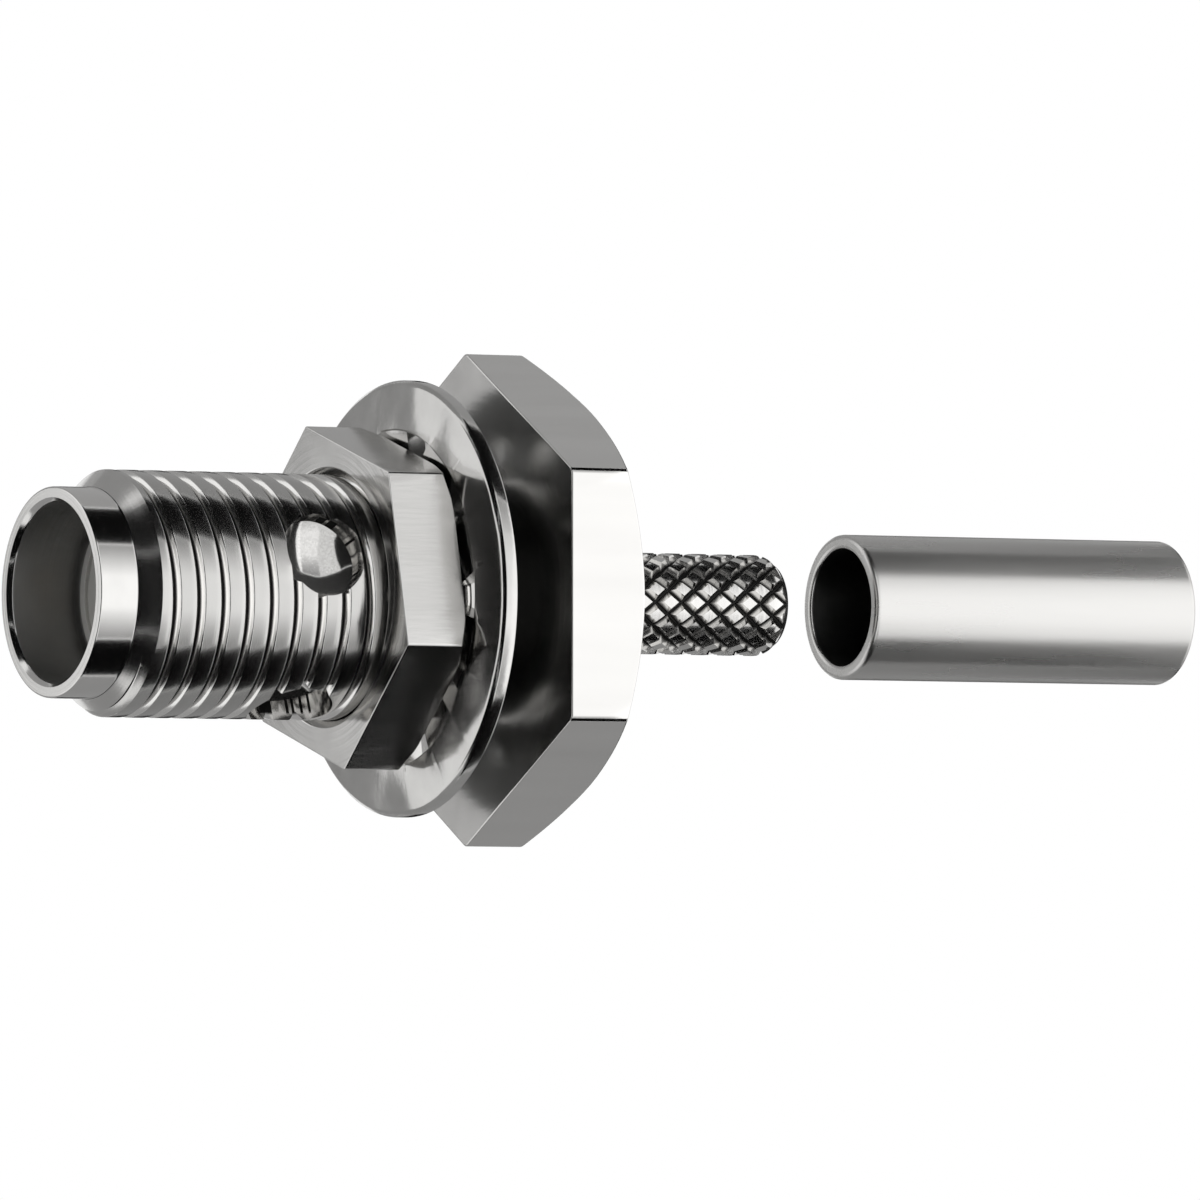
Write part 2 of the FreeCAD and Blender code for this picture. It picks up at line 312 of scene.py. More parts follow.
def machined_fluoropolymer(name):
    """Turned PTFE: white greyed a little as painted shade, waxy, with light passing a little below the
    surface.
    Its tool marks are drawn 0.2 mm apart, so that they show."""
    material, tree = new_material(name)
    rings = lathe_rings(tree, place_in_mm(tree), 5.0)
    bump = add(tree, "ShaderNodeBump", {"Strength": 0.6, "Distance": 0.006 * MM, "Height": rings})
    shader = add(tree, "ShaderNodeBsdfPrincipled",
                 {"Base Color": srgb("#D2D1CD"), "Roughness": 0.42, "IOR": 1.35,
                  "Subsurface Weight": 0.15, "Subsurface Radius": (1.0, 1.0, 1.0),
                  "Subsurface Scale": 0.3 * MM, "Normal": bump})
    add(tree, "ShaderNodeOutputMaterial", {0: shader})
    return material


def silver_filled_epoxy(name):
    """Cured epoxy full of silver flake: a glossy skin over metal flecks, which makes it mirror like a drop.
    Real flakes are about 0.01 mm wide. They are drawn 0.05 mm wide, so that they show."""
    material, tree = new_material(name)
    in_mm = place_in_mm(tree)
    flecks = add(tree, "ShaderNodeTexVoronoi", {"Vector": in_mm, "Scale": 20.0}).outputs["Color"]
    fleck = add(tree, "ShaderNodeSeparateColor", {0: flecks})
    tone = add(tree, "ShaderNodeMix", {0: fleck, 6: srgb("#C2C1BF"), 7: srgb("#CFCECC")},
               data_type="RGBA").outputs[2]
    swell = add(tree, "ShaderNodeTexNoise", {"Vector": in_mm, "Scale": 1.4, "Detail": 0.0})
    bump = add(tree, "ShaderNodeBump", {"Strength": 1.0, "Distance": 0.03 * MM, "Height": swell})
    shader = add(tree, "ShaderNodeBsdfPrincipled",
                 {"Base Color": tone, "Metallic": 0.95, "Roughness": 0.1, "Coat Weight": 0.5,
                  "Coat Roughness": 0.03, "Normal": bump})
    add(tree, "ShaderNodeOutputMaterial", {0: shader})
    return material


# Meshes

def rounded_outline(corners, steps=4):
    """Outline points from closed (x, radius, rounding) corners, each rounded by a short curve."""
    longest_share = 0.45
    tiny = 1e-9
    points = []
    count = len(corners)
    for number, (x, radius, rounding) in enumerate(corners):
        corner = np.array((x, radius))
        if rounding == 0:
            points.append(corner)
            continue
        ends = []
        for neighbour in (corners[number - 1], corners[(number + 1) % count]):
            way = np.array(neighbour[:2]) - corner
            ends.append(corner + way * min(rounding / max(np.linalg.norm(way), tiny), longest_share))
        start, end = ends
        for step in range(steps + 1):
            share = step / steps
            points.append(start * (1 - share) ** 2 + corner * 2 * share * (1 - share) + end * share ** 2)
    return points


def clean(mesh, merge_distance=1e-5):
    """Merges doubles and turns the faces outwards."""
    work = bmesh.new()
    work.from_mesh(mesh)
    bmesh.ops.remove_doubles(work, verts=work.verts, dist=merge_distance)
    bmesh.ops.dissolve_degenerate(work, edges=work.edges, dist=merge_distance / 10)
    bmesh.ops.recalc_face_normals(work, faces=work.faces)
    work.to_mesh(mesh)
    work.free()


def shown(name, data):
    """New object of the scene that holds a mesh, lamp or camera."""
    made = bpy.data.objects.new(name, data)
    bpy.context.scene.collection.objects.link(made)
    return made


def object_from(name, vertices, faces):
    """New object with a clean closed mesh."""
    mesh = bpy.data.meshes.new(name)
    mesh.from_pydata([tuple(v) for v in vertices], [], faces)
    clean(mesh)
    return shown(name, mesh)


def round_the_axis(name, angles, outline_at):
    """Closed solid whose outline at each angle about X is a closed list of (x, radius) points."""
    vertices = []
    faces = []
    for angle in angles:
        for x, radius in outline_at(angle):
            vertices.append((x, -radius * math.cos(angle), radius * math.sin(angle)))
    around = len(angles)
    along = len(vertices) // around
    for turn in range(around):
        beside = (turn + 1) % around
        for step in range(along):
            above = (step + 1) % along
            faces.append((turn * along + step, turn * along + above,
                          beside * along + above, beside * along + step))
    return object_from(name, vertices, faces)


def turned(name, corners, segments=192):
    """Solid of revolution about X from closed (x, radius, rounding) corners."""
    outline = rounded_outline(corners)
    angles = [2 * math.pi * number / segments for number in range(segments)]
    return round_the_axis(name, angles, lambda angle: outline)


def object_of_work(name, work):
    """New object from a mesh that was worked on, which is used up."""
    mesh = bpy.data.meshes.new(name)
    work.to_mesh(mesh)
    work.free()
    return shown(name, mesh)


def evaluated_mesh(made):
    """Mesh of an object with its modifiers carried out."""
    graph = bpy.context.evaluated_depsgraph_get()
    return bpy.data.meshes.new_from_object(made.evaluated_get(graph))


def freeze(made):
    """Carries out an object's modifiers, so that it is a plain mesh."""
    mesh = evaluated_mesh(made)
    made.modifiers.clear()
    made.data = mesh


def combine(base, tools, operation):
    """Joins, cuts or intersects an object with others, which are used up."""
    for tool in tools:
        for solver in ("MANIFOLD", "EXACT"):
            step = base.modifiers.new("solid", "BOOLEAN")
            step.operation = operation
            step.solver = solver
            step.object = tool
            mesh = evaluated_mesh(base)
            base.modifiers.clear()
            if len(mesh.polygons) > 0:
                break
            print("solver", solver, "failed on", base.name, operation, tool.name)
        base.data = mesh
        bpy.data.objects.remove(tool)
    return base


def hexagon_angles(turn, apothem, corner_round):
    """Angles about X for a rounded hexagon: even along the flats, close together at the corners."""
    flat_points = 9
    corner_points = 6
    flat_end = math.atan((apothem - corner_round) * math.tan(half_side) / apothem)
    half = list(np.linspace(0, flat_end, flat_points))
    half += list(np.linspace(flat_end, half_side, corner_points))[1:]
    side = [-angle for angle in half[::-1]] + half[1:]
    first_flat = math.radians(turn - 30)
    return [first_flat + side_turn * number + angle for number in range(6) for angle in side[:-1]]


def hexagon_reach(angle, turn, apothem, corner_round):
    """Distance from the axis to the side of a hexagon with rounded corners."""
    from_flat = abs((angle - math.radians(turn - 30) + half_side) % side_turn - half_side)
    if apothem * math.tan(from_flat) < (apothem - corner_round) * math.tan(half_side):
        return apothem / math.cos(from_flat)
    centre = (apothem - corner_round) / math.cos(half_side)
    from_corner = half_side - from_flat
    return centre * math.cos(from_corner) + math.sqrt(
        max(corner_round ** 2 - (centre * math.sin(from_corner)) ** 2, 0))


def hexagon_solid(name, front_x, back_x, apothem, turn, corner_round, edge_round, back_circle, inner):
    """Hexagon about X with rounded corners and edges, chamfered at 30 degrees round its back.
    Inner is the open outline of its bore, or of its middle where it has none, from back to front."""
    least_chamfer = 0.001
    chamfer_edge_round = edge_round * 0.8

    def outline_at(angle):
        reach = hexagon_reach(angle, turn, apothem, corner_round)
        chamfer = max(reach - back_circle, least_chamfer)
        outer = [
            (front_x, reach, edge_round),
            (back_x - chamfer * chamfer_slope, reach, chamfer_edge_round),
            (back_x, reach - chamfer, edge_round),
        ]
        return rounded_outline(outer + inner)
    return round_the_axis(name, hexagon_angles(turn, apothem, corner_round), outline_at)


def node_group(name, sizes):
    """Empty geometry tree with a float or integer input for each named size, and a material input."""
    tree = bpy.data.node_groups.new(name, "GeometryNodeTree")
    tree.interface.new_socket("Geometry", in_out="INPUT", socket_type="NodeSocketGeometry")
    for label, value in sizes.items():
        kind = "NodeSocketInt" if isinstance(value, int) else "NodeSocketFloat"
        tree.interface.new_socket(label, in_out="INPUT", socket_type=kind)
    tree.interface.new_socket("Material", in_out="INPUT", socket_type="NodeSocketMaterial")
    tree.interface.new_socket("Geometry", in_out="OUTPUT", socket_type="NodeSocketGeometry")
    entry = add(tree, "NodeGroupInput")
    return tree, entry.outputs


def close_tree(tree, geometry, material):
    """Ends a geometry tree in real meshes with their material."""
    real = add(tree, "GeometryNodeRealizeInstances", {0: geometry})
    covered = add(tree, "GeometryNodeSetMaterial", {"Geometry": real, "Material": material})
    add(tree, "NodeGroupOutput", {0: covered})


def grown(name, tree, sizes, material):
    """Plain mesh object grown by a geometry tree with these sizes."""
    made = shown(name, bpy.data.meshes.new(name))
    step = made.modifiers.new("growth", "NODES")
    step.node_group = tree
    values = dict(sizes, Material=material)
    for socket in tree.interface.items_tree:
        if socket.in_out == "INPUT" and socket.name in values:
            step[socket.identifier] = values[socket.name]
    freeze(made)
    clean(made.data)
    return made


def thread_ridge_tree(sizes):
    """Right-hand helical ridge of a 60 degree thread, swept along a spiral about X."""
    tree, entry = node_group("thread_ridge", sizes)
    height = add(tree, "ShaderNodeMath", {0: entry["Pitch"], 1: entry["Turns"]}, operation="MULTIPLY")
    spiral = add(tree, "GeometryNodeCurveSpiral",
                 {"Resolution": entry["Steps per Turn"], "Rotations": entry["Turns"],
                  "Start Radius": entry["Foot Radius"], "End Radius": entry["Foot Radius"],
                  "Height": height, "Reverse": True})
    upright = add(tree, "GeometryNodeSetCurveNormal", {0: spiral}, mode="Z_UP")
    rise = add(tree, "ShaderNodeMath", {0: entry["Crest Radius"], 1: entry["Foot Radius"]},
               operation="SUBTRACT")
    corners = {}
    for label, width, share, outward in (("Point 1", "Foot Width", -0.5, 0.0),
                                         ("Point 2", "Foot Width", 0.5, 0.0),
                                         ("Point 3", "Crest Width", 0.5, rise),
                                         ("Point 4", "Crest Width", -0.5, rise)):
        across = add(tree, "ShaderNodeMath", {0: entry[width], 1: share}, operation="MULTIPLY")
        corners[label] = add(tree, "ShaderNodeCombineXYZ", {0: outward, 1: across})
    section = add(tree, "GeometryNodeCurvePrimitiveQuadrilateral", corners, mode="POINTS")
    eased = add(tree, "GeometryNodeFilletCurve",
                {"Curve": section, "Radius": entry["Crest Round"], "Count": 3}, mode="POLY")
    ridge = add(tree, "GeometryNodeCurveToMesh",
                {"Curve": upright, "Profile Curve": eased, "Fill Caps": True})
    laid = add(tree, "GeometryNodeTransform",
               {"Geometry": ridge, "Rotation": (0.0, math.radians(90), 0.0)})
    start = add(tree, "ShaderNodeCombineXYZ", {0: entry["Start"]})
    placed = add(tree, "GeometryNodeTransform", {"Geometry": laid, "Translation": start})
    close_tree(tree, placed, entry["Material"])
    return tree


def knurl_tree(sizes):
    """Flat-topped diamonds set in crossing rows round a stem that lies along X."""
    tree, entry = node_group("diamond_knurl", sizes)
    number = add(tree, "GeometryNodeInputIndex")
    total = add(tree, "ShaderNodeMath", {0: entry["Rows"], 1: entry["Around"]}, operation="MULTIPLY")
    rows_before = add(tree, "ShaderNodeMath", {0: number, 1: entry["Around"]}, operation="DIVIDE")
    row = add(tree, "ShaderNodeMath", {0: rows_before}, operation="FLOOR")
    first_in_row = add(tree, "ShaderNodeMath", {0: row, 1: entry["Around"]}, operation="MULTIPLY")
    column = add(tree, "ShaderNodeMath", {0: number, 1: first_in_row}, operation="SUBTRACT")
    odd = add(tree, "ShaderNodeMath", {0: row, 1: 2.0}, operation="MODULO")
    shift = add(tree, "ShaderNodeMath", {0: odd, 1: 0.5}, operation="MULTIPLY")
    shifted = add(tree, "ShaderNodeMath", {0: column, 1: shift}, operation="ADD")
    turn_step = add(tree, "ShaderNodeMath", {0: 2 * math.pi, 1: entry["Around"]}, operation="DIVIDE")
    turn = add(tree, "ShaderNodeMath", {0: shifted, 1: turn_step}, operation="MULTIPLY")
    along = add(tree, "ShaderNodeMath", {0: row, 1: entry["Row Step"]}, operation="MULTIPLY")
    place = {0: add(tree, "ShaderNodeMath", {0: along, 1: entry["First Row"]}, operation="ADD")}
    for axis, wave, side in ((1, "COSINE", -1.0), (2, "SINE", 1.0)):
        unit = add(tree, "ShaderNodeMath", {0: turn}, operation=wave)
        reach = add(tree, "ShaderNodeMath", {0: unit, 1: entry["Foot Radius"]}, operation="MULTIPLY")
        place[axis] = add(tree, "ShaderNodeMath", {0: reach, 1: side}, operation="MULTIPLY")
    points = add(tree, "GeometryNodePoints",
                 {"Count": total, "Position": add(tree, "ShaderNodeCombineXYZ", place)})
    lean = add(tree, "ShaderNodeMath", {0: math.pi / 2, 1: turn}, operation="SUBTRACT")
    facing = add(tree, "ShaderNodeCombineXYZ", {0: lean})
    diamond = add(tree, "GeometryNodeMeshCone",
                  {"Vertices": 4, "Radius Top": entry["Top Share"], "Radius Bottom": 1.0,
                   "Depth": entry["Height"]})
    stretch = add(tree, "ShaderNodeCombineXYZ",
                  {0: entry["Half Length"], 1: entry["Half Width"], 2: 1.0})
    rows = add(tree, "GeometryNodeInstanceOnPoints",
               {"Points": points, "Instance": diamond, "Rotation": facing, "Scale": stretch})
    close_tree(tree, rows, entry["Material"])
    return tree


def washer_teeth_tree(sizes):
    """Ring of flat teeth that point inwards, each twisted about its own length."""
    tree, entry = node_group("washer_teeth", sizes)
    size = add(tree, "ShaderNodeCombineXYZ",
               {0: entry["Thickness"], 1: entry["Width"], 2: entry["Length"]})
    blank = add(tree, "GeometryNodeMeshCube",
                {"Size": size, "Vertices X": 2, "Vertices Y": 2, "Vertices Z": 7})
    here = add(tree, "GeometryNodeInputPosition")
    up = add(tree, "ShaderNodeSeparateXYZ", {0: here}).outputs[2]
    share_up = add(tree, "ShaderNodeMath", {0: up, 1: entry["Length"]}, operation="DIVIDE")
    share_in = add(tree, "ShaderNodeMath", {0: 0.5, 1: share_up}, operation="SUBTRACT")
    twist = add(tree, "ShaderNodeMath", {0: share_in, 1: entry["Twist"]}, operation="MULTIPLY")
    twisted = add(tree, "ShaderNodeVectorRotate", {"Vector": here, "Angle": twist},
                  rotation_type="Z_AXIS")
    tooth = add(tree, "GeometryNodeSetPosition", {"Geometry": blank, "Position": twisted})
    half_length = add(tree, "ShaderNodeMath", {0: entry["Length"], 1: 0.5}, operation="MULTIPLY")
    middle = add(tree, "ShaderNodeMath", {0: entry["Tip Radius"], 1: half_length}, operation="ADD")
    raised = add(tree, "ShaderNodeCombineXYZ", {0: entry["Station"], 2: middle})
    placed = add(tree, "GeometryNodeTransform", {"Geometry": tooth, "Translation": raised})
    number = add(tree, "GeometryNodeInputIndex")
    step = add(tree, "ShaderNodeMath", {0: 2 * math.pi, 1: entry["Count"]}, operation="DIVIDE")
    turn = add(tree, "ShaderNodeMath", {0: number, 1: step}, operation="MULTIPLY")
    facing = add(tree, "ShaderNodeCombineXYZ", {0: turn})
    points = add(tree, "GeometryNodePoints", {"Count": entry["Count"]})
    teeth = add(tree, "GeometryNodeInstanceOnPoints",
                {"Points": points, "Instance": placed, "Rotation": facing})
    close_tree(tree, teeth, entry["Material"])
    return tree


# Finishing a piece

def off_axis(point):
    """Distance of a point from the connector's axis."""
    return math.hypot(point.y, point.z)


def paint(made, material, test):
    """Gives a second material to the faces whose centre and normal pass a test."""
    made.data.materials.append(material)
    place = len(made.data.materials) - 1
    for face in made.data.polygons:
        if test(face.center, face.normal):
            face.material_index = place


def crease_flat_ends(mesh):
    """Marks the rims of the flat faces square to the axis as sharp, so that they shade quite flat."""
    square_tilt = 0.9999
    work = bmesh.new()
    work.from_mesh(mesh)
    for edge in work.edges:
        ends = [abs(face.normal.x) > square_tilt for face in edge.link_faces]
        if len(ends) == 2 and ends[0] != ends[1]:
            edge.smooth = False
    work.to_mesh(mesh)
    work.free()


def finish_piece(made, body, nodes, sharp_degrees=35):
    """Brings a modelled piece to metres, shades it by angle and hands it to its body."""
    made.data.transform(Matrix.Scale(MM, 4))
    made.data.polygons.foreach_set("use_smooth", [True] * len(made.data.polygons))
    made.data.set_sharp_from_angle(angle=math.radians(sharp_degrees))
    crease_flat_ends(made.data)
    weighted = made.modifiers.new("shading", "WEIGHTED_NORMAL")
    weighted.keep_sharp = True
    freeze(made)
    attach(made, body)
    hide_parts(*nodes)


def in_material(made, material):
    """Gives the whole piece one material."""
    made.data.materials.clear()
    made.data.materials.append(material)
    for face in made.data.polygons:
        face.material_index = 0


# The pieces

THREAD = {
    "Pitch": thread_pitch,
    "Turns": thread_turns,
    "Steps per Turn": thread_steps_per_turn,
    "Foot Radius": thread_root_radius - thread_root_overlap,
    "Crest Radius": thread_radius,
    "Foot Width": thread_pitch - thread_root_flat + 2 * thread_root_overlap * thread_slope,
    "Crest Width": thread_crest_flat,
    "Crest Round": thread_crest_round,
    "Start": pilot_end_x - 2 * thread_pitch,
}
KNURL = {
    "Rows": knurl_rows,
    "Around": knurl_around,
    "Row Step": knurl_pitch / 2,
    "First Row": knurl_start_x - knurl_pitch / 2,
    "Foot Radius": knurl_root_radius - knurl_foot_overlap,
    "Height": stem_radius - knurl_root_radius + knurl_foot_overlap,
    "Half Length": knurl_half_length,
    "Half Width": knurl_half_width,
    "Top Share": knurl_top_share,
}
TEETH = {
    "Count": washer_tooth_count,
    "Width": washer_tooth_width,
    "Thickness": washer_tooth_thickness,
    "Length": washer_ring_inner_radius + washer_tooth_overlap - washer_bore_radius + washer_tooth_trim,
    "Tip Radius": washer_bore_radius - washer_tooth_trim,
    "Twist": washer_tooth_twist,
    "Station": (washer_low.x + washer_high.x) / 2,
}


def thread_ridge(name, material, allowance=0.0):
    """Thread ridge, wider and taller by an allowance when it is used to cut a nut."""
    sizes = dict(THREAD)
    sizes["Crest Radius"] += allowance
    sizes["Foot Width"] += 2 * allowance
    sizes["Crest Width"] += 2 * allowance
    return grown(name, thread_ridge_tree(sizes), sizes, material)


def barrel(material):
    """Threaded barrel with its pilot in front and relief behind, as one solid bar."""
    relief_start = -relief_width - (thread_radius - relief_radius)
    clear_radius = thread_radius + envelope_gap
    inside_radius = 1.0
    lead = 0.1
    envelope = turned("thread_envelope", [
        (pilot_end_x - lead, inside_radius, 0), (pilot_end_x - lead, pilot_radius - lead, 0),
        (ramp_end_x + envelope_gap, clear_radius, 0), (relief_start - envelope_gap, clear_radius, 0),
        (-relief_width, relief_radius, 0), (-relief_width, inside_radius, 0),
    ])
    ridge = combine(thread_ridge("ridge", material), [envelope], "INTERSECT")
    bar = turned("connector_body", [
        (mouth_x, 0, 0),
        (mouth_x, pilot_radius, pilot_edge),
        (pilot_end_x, pilot_radius, broken_edge),
        (pilot_end_x + thread_root_radius - pilot_radius, thread_root_radius, 0),
        (-relief_width - (thread_root_radius - relief_radius), thread_root_radius, 0),
        (-relief_width, relief_radius, 0),
        (hexagon_thickness / 2, relief_radius, 0),
        (hexagon_thickness / 2, 0, 0),
    ])
    return combine(bar, [ridge], "UNION")


def knurled_stem(material):
    """Crimp stem: a plain neck, then rows of diamonds up to a chamfered end."""
    neck_radius = knurl_root_radius - stem_neck_step
    core = turned("stem_core", [
        (hexagon_thickness / 2, 0, 0), (hexagon_thickness / 2, neck_radius, 0),
        (knurl_start_x, neck_radius, 0), (knurl_start_x + stem_neck_step, knurl_root_radius, 0),
        (stem_end_x, knurl_root_radius, deburred_edge), (stem_end_x, 0, 0),
    ])
    rows = grown("knurl_rows", knurl_tree(KNURL), KNURL, material)
    inside_radius = 0.5
    envelope = turned("knurl_envelope", [
        (knurl_start_x, inside_radius, 0),
        (knurl_start_x, stem_radius - knurl_lead_drop, 0),
        (knurl_start_x + knurl_lead_length, stem_radius, broken_edge),
        (stem_end_x - stem_end_chamfer, stem_radius, stem_shoulder_round),
        (stem_end_x, stem_radius - stem_end_chamfer, stem_tip_round),
        (stem_end_x, inside_radius, 0),
    ])
    combine(rows, [envelope], "INTERSECT")
    return combine(core, [rows], "UNION")


# Which faces of the body have which finish, told by a face's centre and normal

def on_thread(centre, normal):
    """Thread and relief, but not the inside of the barrel."""
    outside_radius = relief_radius - 0.05
    return pilot_end_x < centre.x < -near and off_axis(centre) > outside_radius


def on_crest(centre, normal):
    """Flat tops of the thread."""
    in_thread = pilot_end_x < centre.x < -relief_width
    return in_thread and off_axis(centre) > thread_radius - near and abs(normal.x) < crest_tilt


def on_cut_face(centre, normal):
    """Ramp where the thread starts, and the faces and chamfers of the hexagon."""
    on_ramp = normal.x < -ramp_tilt and centre.x < ramp_end_x and off_axis(centre) > pilot_radius
    in_hexagon = -near < centre.x < hexagon_thickness + near
    return on_ramp or (in_hexagon and abs(normal.x) > chamfer_tilt)


def on_stem(centre, normal):
    """All that lies behind the hexagon."""
    return centre.x > hexagon_thickness + near


def on_hexagon_flat(centre, normal):
    """Flats and corners of the hexagon."""
    outside = off_axis(centre) > hexagon_flat_zone_radius
    return centre.x > 0 and outside and abs(normal.x) < flat_tilt


def in_bore(centre, normal):
    """Walls behind the countersunk mouth that look towards the axis."""
    looks_inwards = normal.y * centre.y + normal.z * centre.z < 0
    behind_mouth = centre.x > mouth_x + mouth_countersink
    return looks_inwards and behind_mouth and off_axis(centre) < socket_radius + near


def make_body(turned_nickel, crest_nickel_with_painted_shade, flank_nickel_with_painted_highlight, faced_nickel, drawn_nickel, knurl_nickel_with_painted_shade,
              bore_nickel_with_painted_shade):
    """The jack's body: barrel, hexagon and knurled stem, bored through and cross-drilled."""
    body = barrel(turned_nickel)
    hexagon = hexagon_solid("hexagon", 0.0, hexagon_thickness, hexagon_apothem, 90.0,
                            hexagon_corner_round, hexagon_edge_round, hexagon_apothem,
                            [(hexagon_thickness, 0, 0), (0.0, 0, 0)])
    combine(body, [hexagon, knurled_stem(turned_nickel)], "UNION")
    mouth_bore_radius = socket_radius + mouth_countersink
    cable_mouth_radius = cable_bore_radius + cable_bore_chamfer
    bores = turned("bores", [
        (mouth_x - overrun, 0, 0), (mouth_x - overrun, mouth_bore_radius, 0),
        (mouth_x, mouth_bore_radius, 0), (mouth_x + mouth_countersink, socket_radius, broken_edge),
        (socket_floor_x, socket_radius, 0), (socket_floor_x, bead_bore_radius, fine_edge),
        (bead_end_x, bead_bore_radius, 0), (bead_end_x, cable_bore_radius, 0),
        (stem_end_x - cable_bore_chamfer, cable_bore_radius, eased_edge),
        (stem_end_x, cable_mouth_radius, 0),
        (stem_end_x + overrun, cable_mouth_radius, 0), (stem_end_x + overrun, 0, 0),
    ])
    combine(body, [bores], "DIFFERENCE")
    drills = [lock_drill(number, lock_hole_radius, inner=1.0, outer=4.0)
              for number in range(lock_hole_count)]
    combine(body, drills, "DIFFERENCE")
    in_material(body, turned_nickel)
    # Painted highlight on the thread's flanks, and painted shade on its roots and crests
    paint(body, flank_nickel_with_painted_highlight, on_thread)
    paint(body, crest_nickel_with_painted_shade, on_crest)
    paint(body, faced_nickel, on_cut_face)
    # Painted shade in the grooves of the knurl
    paint(body, knurl_nickel_with_painted_shade, on_stem)
    paint(body, drawn_nickel, on_hexagon_flat)
    # Painted shade: the bores get a darker, rougher nickel
    paint(body, bore_nickel_with_painted_shade, in_bore)
    finish_piece(body, "connector", ["jack_body"])


def lock_hole_rotation(number):
    """Turns a thing that stands up on +Z so that it points out through one lock hole."""
    return Matrix.Rotation(math.radians(90 - lock_hole_turn + 360 * number / lock_hole_count), 3, "X")


def lock_drill(number, radius, inner, outer):
    """Round bar that points out from the axis through one lock hole."""
    work = bmesh.new()
    bmesh.ops.create_cone(work, cap_ends=True, segments=lock_hole_segments, radius1=radius,
                          radius2=radius, depth=outer - inner)
    bmesh.ops.translate(work, verts=work.verts, vec=(0, 0, (outer + inner) / 2))
    bmesh.ops.rotate(work, verts=work.verts, cent=(0, 0, 0), matrix=lock_hole_rotation(number))
    bmesh.ops.translate(work, verts=work.verts, vec=(lock_hole_x, 0, 0))
    return object_of_work("drill", work)


def make_nut(turned_nickel, satin_nickel):
    """Hex panel nut with sharp front corners, chamfered back corners and a cut thread."""
    mouth_radius = thread_radius + nut_countersink
    bore_radius = thread_root_radius + nut_thread_clearance
    depth = mouth_radius - bore_radius
    bore = [
        (nut_high.x, mouth_radius, fine_edge), (nut_high.x - depth, bore_radius, 0),
        (nut_low.x + depth, bore_radius, 0), (nut_low.x, mouth_radius, fine_edge),
    ]
    nut = hexagon_solid("panel_nut", nut_low.x, nut_high.x, nut_apothem, nut_turn,
                        nut_corner_round, nut_edge_round, nut_back_circle_radius, bore)
    combine(nut, [thread_ridge("nut_tap", turned_nickel, allowance=nut_thread_clearance)], "DIFFERENCE")
    in_material(nut, turned_nickel)
    paint(nut, satin_nickel, lambda centre, normal: (off_axis(centre) > nut_flat_zone_radius
                                                     and abs(normal.x) < flat_tilt))
    finish_piece(nut, "nut", ["hex_nut"])


def make_washer(stamped_nickel, painted_shade_nickel):
    """Lock washer: a ring with a slightly dished, bevelled front and twisted teeth inside."""
    middle = (washer_low.x + washer_high.x) / 2
    front = middle - washer_ring_thickness / 2
    back = middle + washer_ring_thickness / 2
    ring = turned("lock_washer_ring", [
        (front, washer_ring_inner_radius, eased_edge),
        (front + washer_dish, washer_radius - washer_bevel, soft_edge),
        (front + washer_dish + washer_bevel, washer_radius, deburred_edge),
        (back, washer_radius, eased_edge), (back, washer_ring_inner_radius, eased_edge),
    ])
    teeth = grown("teeth", washer_teeth_tree(TEETH), TEETH, stamped_nickel)
    half_length = 8
    outside = 20
    trim = turned("trim", [
        (-half_length, washer_bore_radius, 0), (-half_length, outside, 0),
        (half_length, outside, 0), (half_length, washer_bore_radius, 0),
    ])
    combine(teeth, [trim], "INTERSECT")
    combine(ring, [teeth], "UNION")
    in_material(ring, stamped_nickel)
    # Painted shade: the washer's back, which faces the hexagon, gets a dark matt nickel
    paint(ring, painted_shade_nickel, lambda centre, normal: normal.x > back_tilt)
    ring.name = "toothed_washer"
    finish_piece(ring, "washer", ["lock_washer"])


def make_ferrule(tube_nickel, painted_shade_nickel):
    """Crimp ferrule: a thin drawn tube, tumbled until its edges are round."""
    tube = turned("crimp_tube", [
        (ferrule_low.x, ferrule_bore_radius, ferrule_inner_edge),
        (ferrule_low.x, ferrule_radius, ferrule_edge),
        (ferrule_high.x, ferrule_radius, ferrule_edge),
        (ferrule_high.x, ferrule_bore_radius, ferrule_inner_edge),
    ])
    in_material(tube, tube_nickel)
    # Painted shade: the inside of the tube gets a dark matt nickel
    paint(tube, painted_shade_nickel, lambda centre, normal: off_axis(centre) < ferrule_bore_radius + near)
    finish_piece(tube, "ferrule", ["crimp_ferrule"])


def make_insulator(fluoropolymer):
    """Bead of fluoropolymer round the contact, its face dished inside a raised rim."""
    inner_radius = contact_radius + fit_gap
    outer_radius = bead_bore_radius - fit_gap
    bead = turned("front_bead", [
        (socket_floor_x + bead_dish, inner_radius, fine_edge),
        (socket_floor_x + bead_dish, bead_bore_radius - bead_rim, fine_edge),
        (socket_floor_x, bead_bore_radius - bead_rim - bead_rim_slope, fine_edge),
        (socket_floor_x, outer_radius, soft_edge),
        (bead_end_x, outer_radius, deburred_edge), (bead_end_x, inner_radius, fine_edge),
    ])
    drills = [lock_drill(number, lock_core_radius, inner=0.0, outer=3.0)
              for number in range(lock_hole_count)]
    combine(bead, drills, "DIFFERENCE")
    in_material(bead, fluoropolymer)
    finish_piece(bead, "connector", ["front_insulator"])


